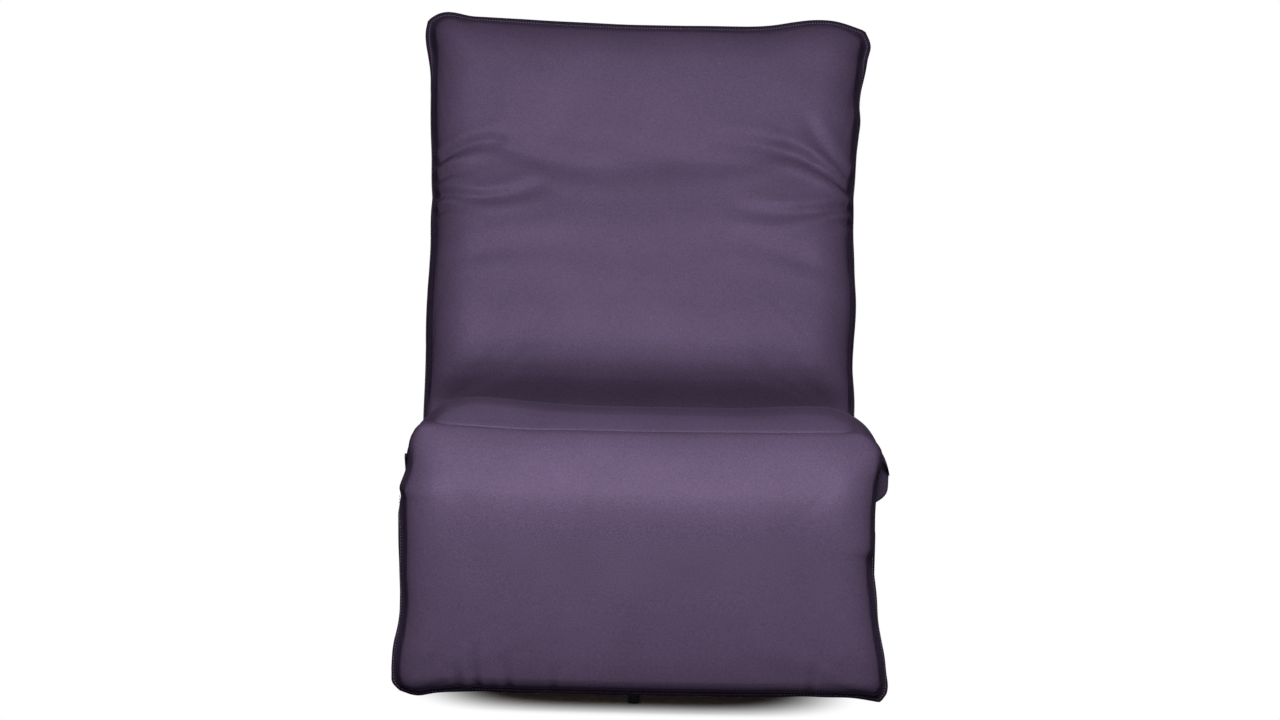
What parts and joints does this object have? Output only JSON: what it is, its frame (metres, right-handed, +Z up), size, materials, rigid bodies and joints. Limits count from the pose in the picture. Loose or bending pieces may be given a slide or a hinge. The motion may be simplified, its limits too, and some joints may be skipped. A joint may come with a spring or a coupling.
{
  "type": "armless recliner",
  "caption": "Armless upholstered recliner with a full-width linkage footrest, wall-saving swing-link seat, reclining back and tilting headrest.",
  "frame": {"origin": "on the floor, under the middle of the closed chair's overall box", "axes": "+Z up, -Y out of the front towards the sitter's feet, +X to the right seen from the front"},
  "size_m": [0.732, 0.8949, 1.0394],
  "materials": {
    "upholstery": "matte",
    "plywood": "matte",
    "hardwood": "matte",
    "black_plastic": "matte",
    "webbing": "matte",
    "spring_steel": "satin",
    "zinc_steel": "satin",
    "black_steel": "satin"
  },
  "bodies": {
    "base": {"rear_panel": "plywood", "rear_panel_cover": "upholstery", "front_cross_tube": "black_steel", "rear_cross_tube": "black_steel", "tube_end_plates": "black_steel", "panel_bolts": "zinc_steel", "front_feet": "black_plastic", "rear_feet": "black_plastic", "support_foot": "black_plastic", "side_panel_left": "plywood", "side_panel_right": "plywood", "side_cover_left": "upholstery", "side_cover_right": "upholstery", "base_rail_left": "black_steel", "base_rail_right": "black_steel"},
    "rear_swing": {"rear_swing_link_left": "black_steel", "rear_swing_link_right": "black_steel"},
    "front_swing": {"front_swing_link_left": "black_steel", "front_swing_link_right": "black_steel"},
    "seat": {"seat_rail_front": "hardwood", "seat_rail_rear": "hardwood", "seat_springs": "spring_steel", "spring_clips": "black_plastic", "seat_cushion": "upholstery", "seat_plate_left": "black_steel", "seat_plate_right": "black_steel", "seat_rail_left": "hardwood", "seat_rail_right": "hardwood"},
    "back": {"back_rail_bottom": "hardwood", "back_rail_top": "hardwood", "back_webbing": "webbing", "back_cushion": "upholstery", "back_rear_panel": "upholstery", "back_strap_left": "black_steel", "back_strap_right": "black_steel", "back_stile_left": "hardwood", "back_stile_right": "hardwood"},
    "headrest": {"headrest_board": "plywood", "headrest_cushion": "upholstery", "headrest_rear_panel": "upholstery", "headrest_arm_left": "black_steel", "headrest_arm_right": "black_steel"},
    "release_lever": {"lever_handle": "black_plastic", "lever_shaft": "black_steel", "lever_kicker": "black_steel", "lever_return_spring": "spring_steel"},
    "front_links": {"torque_tube": "black_steel", "front_footrest_link_left": "black_steel", "front_footrest_link_right": "black_steel"},
    "rear_links": {"rear_footrest_link_left": "black_steel", "rear_footrest_link_right": "black_steel"},
    "lower_links": {"lower_footrest_link_left": "black_steel", "lower_footrest_link_right": "black_steel"},
    "upper_links": {"upper_footrest_link_left": "black_steel", "upper_footrest_link_right": "black_steel"},
    "footrest": {"footrest_board": "plywood", "footrest_pad": "upholstery", "footrest_screws": "zinc_steel", "footrest_bracket_left": "black_steel", "footrest_bracket_right": "black_steel"}
  },
  "joints": [
    {"name": "recline", "type": "hinge", "parent": "base", "child": "rear_swing", "pos_m": [0, 0.15, 0.13], "axis": [1, 0, 0], "range_deg": [0, 40]},
    {"name": "front_swing_turn", "type": "hinge", "parent": "base", "child": "front_swing", "pos_m": [0, -0.11, 0.13], "axis": [1, 0, 0], "range_deg": [0, 40]},
    {"name": "seat_level", "type": "hinge", "parent": "rear_swing", "child": "seat", "pos_m": [0, 0.20162, 0.20372], "axis": [-1, 0, 0], "range_deg": [0, 40]},
    {"name": "back_tilt", "type": "hinge", "parent": "seat", "child": "back", "pos_m": [0, 0.208, 0.3], "axis": [-1, 0, 0], "range_deg": [0, 35]},
    {"name": "headrest_tilt", "type": "hinge", "parent": "back", "child": "headrest", "pos_m": [0, 0.33223, 0.76364], "axis": [1, 0, 0], "range_deg": [0, 35]},
    {"name": "release_lever_turn", "type": "hinge", "parent": "seat", "child": "release_lever", "pos_m": [-0.3, -0.1, 0.312], "axis": [-1, 0, 0], "range_deg": [0, 20], "stiffness_Nm_per_rad": 0.6, "springref_deg": -20.05},
    {"name": "footrest_swing", "type": "hinge", "parent": "seat", "child": "front_links", "pos_m": [0, -0.258, 0.294], "axis": [-1, 0, 0], "range_deg": [0, 90]},
    {"name": "rear_link_swing", "type": "hinge", "parent": "seat", "child": "rear_links", "pos_m": [0, -0.172, 0.267], "axis": [-1, 0, 0], "range_deg": [0, 90]},
    {"name": "lower_link_turn", "type": "hinge", "parent": "front_links", "child": "lower_links", "pos_m": [0, -0.152, 0.114], "axis": [1, 0, 0], "range_deg": [0, 90]},
    {"name": "upper_link_turn", "type": "hinge", "parent": "front_links", "child": "upper_links", "pos_m": [0, -0.16, 0.164], "axis": [1, 0, 0], "range_deg": [0, 90]},
    {"name": "footrest_turn", "type": "hinge", "parent": "lower_links", "child": "footrest", "pos_m": [0, -0.342, 0.24], "axis": [-1, 0, 0], "range_deg": [0, 90]}
  ],
  "couplings": [
    {"joint": "front_swing_turn", "follows": "recline", "ratio": 1},
    {"joint": "seat_level", "follows": "recline", "ratio": 1},
    {"joint": "back_tilt", "follows": "recline", "ratio": 0.875},
    {"joint": "rear_link_swing", "follows": "footrest_swing", "ratio": 1},
    {"joint": "lower_link_turn", "follows": "footrest_swing", "ratio": 1},
    {"joint": "upper_link_turn", "follows": "footrest_swing", "ratio": 1},
    {"joint": "footrest_turn", "follows": "footrest_swing", "ratio": 1}
  ]
}
